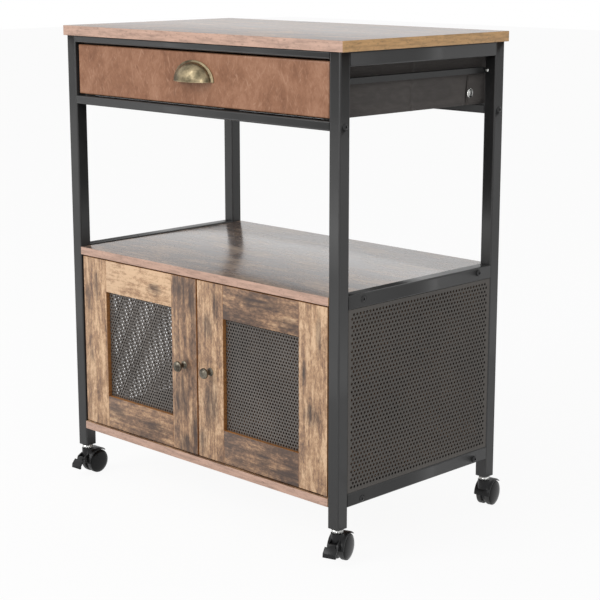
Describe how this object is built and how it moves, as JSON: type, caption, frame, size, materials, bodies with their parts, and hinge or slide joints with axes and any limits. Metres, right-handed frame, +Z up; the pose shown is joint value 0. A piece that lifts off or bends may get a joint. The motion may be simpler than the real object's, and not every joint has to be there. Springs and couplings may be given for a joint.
{
  "type": "rolling microwave cart",
  "caption": "Rolling kitchen cart with a steel frame, wooden top, leather-front drawer, open shelf and a cabinet with mesh doors and perforated sides.",
  "frame": {"origin": "on the floor, midway between the four posts", "axes": "+X to the right as seen from the front, -Y out of the drawer and door fronts, +Z up"},
  "size_m": [0.5913, 0.3887, 0.72],
  "materials": {
    "frame_paint": "satin",
    "runner_paint": "satin",
    "bolt_black": "satin",
    "rustic_wood": "satin",
    "core_wood": "matte",
    "drawer_leather": "satin",
    "box_fabric": "matte",
    "door_mesh": "matte",
    "aged_brass": "satin",
    "bright_steel": "satin",
    "plug_plastic": "matte",
    "caster_nylon": "satin"
  },
  "bodies": {
    "frame": {"back_panel": "rustic_wood", "bottom_board": "rustic_wood", "caster_stems": "bright_steel", "crossbar_back": "frame_paint", "crossbar_front": "frame_paint", "door_catch": "plug_plastic", "drawer_runner_left": "runner_paint", "drawer_runner_right": "runner_paint", "frame_bolts": "bolt_black", "hinge_pins": "bright_steel", "low_rail_left": "frame_paint", "low_rail_right": "frame_paint", "mid_rail_left": "frame_paint", "mid_rail_right": "frame_paint", "post_back_left": "frame_paint", "post_back_right": "frame_paint", "post_front_left": "frame_paint", "post_front_right": "frame_paint", "post_plugs": "plug_plastic", "shelf_board": "rustic_wood", "side_sheet_left": "frame_paint", "side_sheet_right": "frame_paint", "top_bar_back": "frame_paint", "top_bar_front": "frame_paint", "top_board": "rustic_wood", "top_rail_left": "frame_paint", "top_rail_right": "frame_paint"},
    "drawer": {"cup_pull": "aged_brass", "drawer_box": "box_fabric", "drawer_front_board": "core_wood", "drawer_front_skin": "drawer_leather", "drawer_slide_left": "runner_paint", "drawer_slide_right": "runner_paint", "snap_buttons": "bright_steel"},
    "door_left": {"door_left_bottom_rail": "rustic_wood", "door_left_free_stile": "rustic_wood", "door_left_hinge_stile": "rustic_wood", "door_left_knob": "aged_brass", "door_left_mesh": "door_mesh", "door_left_top_rail": "rustic_wood"},
    "door_right": {"door_right_bottom_rail": "rustic_wood", "door_right_free_stile": "rustic_wood", "door_right_hinge_stile": "rustic_wood", "door_right_knob": "aged_brass", "door_right_mesh": "door_mesh", "door_right_top_rail": "rustic_wood"},
    "caster_front_left": {"caster_hood_front_left": "caster_nylon"},
    "wheel_front_left_a": {"wheel_front_left_a": "caster_nylon"},
    "wheel_front_left_b": {"wheel_front_left_b": "caster_nylon"},
    "brake_left": {"brake_lever_left": "caster_nylon"},
    "caster_front_right": {"caster_hood_front_right": "caster_nylon"},
    "wheel_front_right_a": {"wheel_front_right_a": "caster_nylon"},
    "wheel_front_right_b": {"wheel_front_right_b": "caster_nylon"},
    "brake_right": {"brake_lever_right": "caster_nylon"},
    "caster_back_left": {"caster_hood_back_left": "caster_nylon"},
    "wheel_back_left_a": {"wheel_back_left_a": "caster_nylon"},
    "wheel_back_left_b": {"wheel_back_left_b": "caster_nylon"},
    "caster_back_right": {"caster_hood_back_right": "caster_nylon"},
    "wheel_back_right_a": {"wheel_back_right_a": "caster_nylon"},
    "wheel_back_right_b": {"wheel_back_right_b": "caster_nylon"}
  },
  "joints": [
    {"name": "drawer_slide", "type": "slide", "parent": "frame", "child": "drawer", "axis": [0, -1, 0], "range_m": [0, 0.24]},
    {"name": "door_left_hinge", "type": "hinge", "parent": "frame", "child": "door_left", "pos_m": [-0.256, -0.1635, 0.2285], "axis": [0, 0, -1], "range_deg": [0, 110]},
    {"name": "door_right_hinge", "type": "hinge", "parent": "frame", "child": "door_right", "pos_m": [0.256, -0.1635, 0.2285], "axis": [0, 0, 1], "range_deg": [0, 110]},
    {"name": "caster_front_left_swivel", "type": "hinge", "parent": "frame", "child": "caster_front_left", "pos_m": [-0.279, -0.163, 0.043], "axis": [0, 0, 1], "continuous": true},
    {"name": "wheel_front_left_a_spin", "type": "hinge", "parent": "caster_front_left", "child": "wheel_front_left_a", "pos_m": [-0.27973, -0.14902, 0.019], "axis": [-0.9986, -0.0523, 0], "continuous": true},
    {"name": "wheel_front_left_b_spin", "type": "hinge", "parent": "caster_front_left", "child": "wheel_front_left_b", "pos_m": [-0.27973, -0.14902, 0.019], "axis": [-0.9986, -0.0523, 0], "continuous": true},
    {"name": "brake_left_press", "type": "hinge", "parent": "caster_front_left", "child": "brake_left", "pos_m": [-0.27832, -0.17598, 0.0275], "axis": [0.9986, 0.0523, 0], "range_deg": [0, 14]},
    {"name": "caster_front_right_swivel", "type": "hinge", "parent": "frame", "child": "caster_front_right", "pos_m": [0.279, -0.163, 0.043], "axis": [0, 0, 1], "continuous": true},
    {"name": "wheel_front_right_a_spin", "type": "hinge", "parent": "caster_front_right", "child": "wheel_front_right_a", "pos_m": [0.27491, -0.14961, 0.019], "axis": [-0.9563, -0.2924, 0], "continuous": true},
    {"name": "wheel_front_right_b_spin", "type": "hinge", "parent": "caster_front_right", "child": "wheel_front_right_b", "pos_m": [0.27491, -0.14961, 0.019], "axis": [-0.9563, -0.2924, 0], "continuous": true},
    {"name": "brake_right_press", "type": "hinge", "parent": "caster_front_right", "child": "brake_right", "pos_m": [0.2828, -0.17543, 0.0275], "axis": [0.9563, 0.2924, 0], "range_deg": [0, 14]},
    {"name": "caster_back_left_swivel", "type": "hinge", "parent": "frame", "child": "caster_back_left", "pos_m": [-0.279, 0.163, 0.043], "axis": [0, 0, 1], "continuous": true},
    {"name": "wheel_back_left_a_spin", "type": "hinge", "parent": "caster_back_left", "child": "wheel_back_left_a", "pos_m": [-0.27754, 0.17692, 0.019], "axis": [-0.9945, 0.1045, 0], "continuous": true},
    {"name": "wheel_back_left_b_spin", "type": "hinge", "parent": "caster_back_left", "child": "wheel_back_left_b", "pos_m": [-0.27754, 0.17692, 0.019], "axis": [-0.9945, 0.1045, 0], "continuous": true},
    {"name": "caster_back_right_swivel", "type": "hinge", "parent": "frame", "child": "caster_back_right", "pos_m": [0.279, 0.163, 0.043], "axis": [0, 0, 1], "continuous": true},
    {"name": "wheel_back_right_a_spin", "type": "hinge", "parent": "caster_back_right", "child": "wheel_back_right_a", "pos_m": [0.27657, 0.17679, 0.019], "axis": [-0.9848, -0.1736, 0], "continuous": true},
    {"name": "wheel_back_right_b_spin", "type": "hinge", "parent": "caster_back_right", "child": "wheel_back_right_b", "pos_m": [0.27657, 0.17679, 0.019], "axis": [-0.9848, -0.1736, 0], "continuous": true}
  ]
}
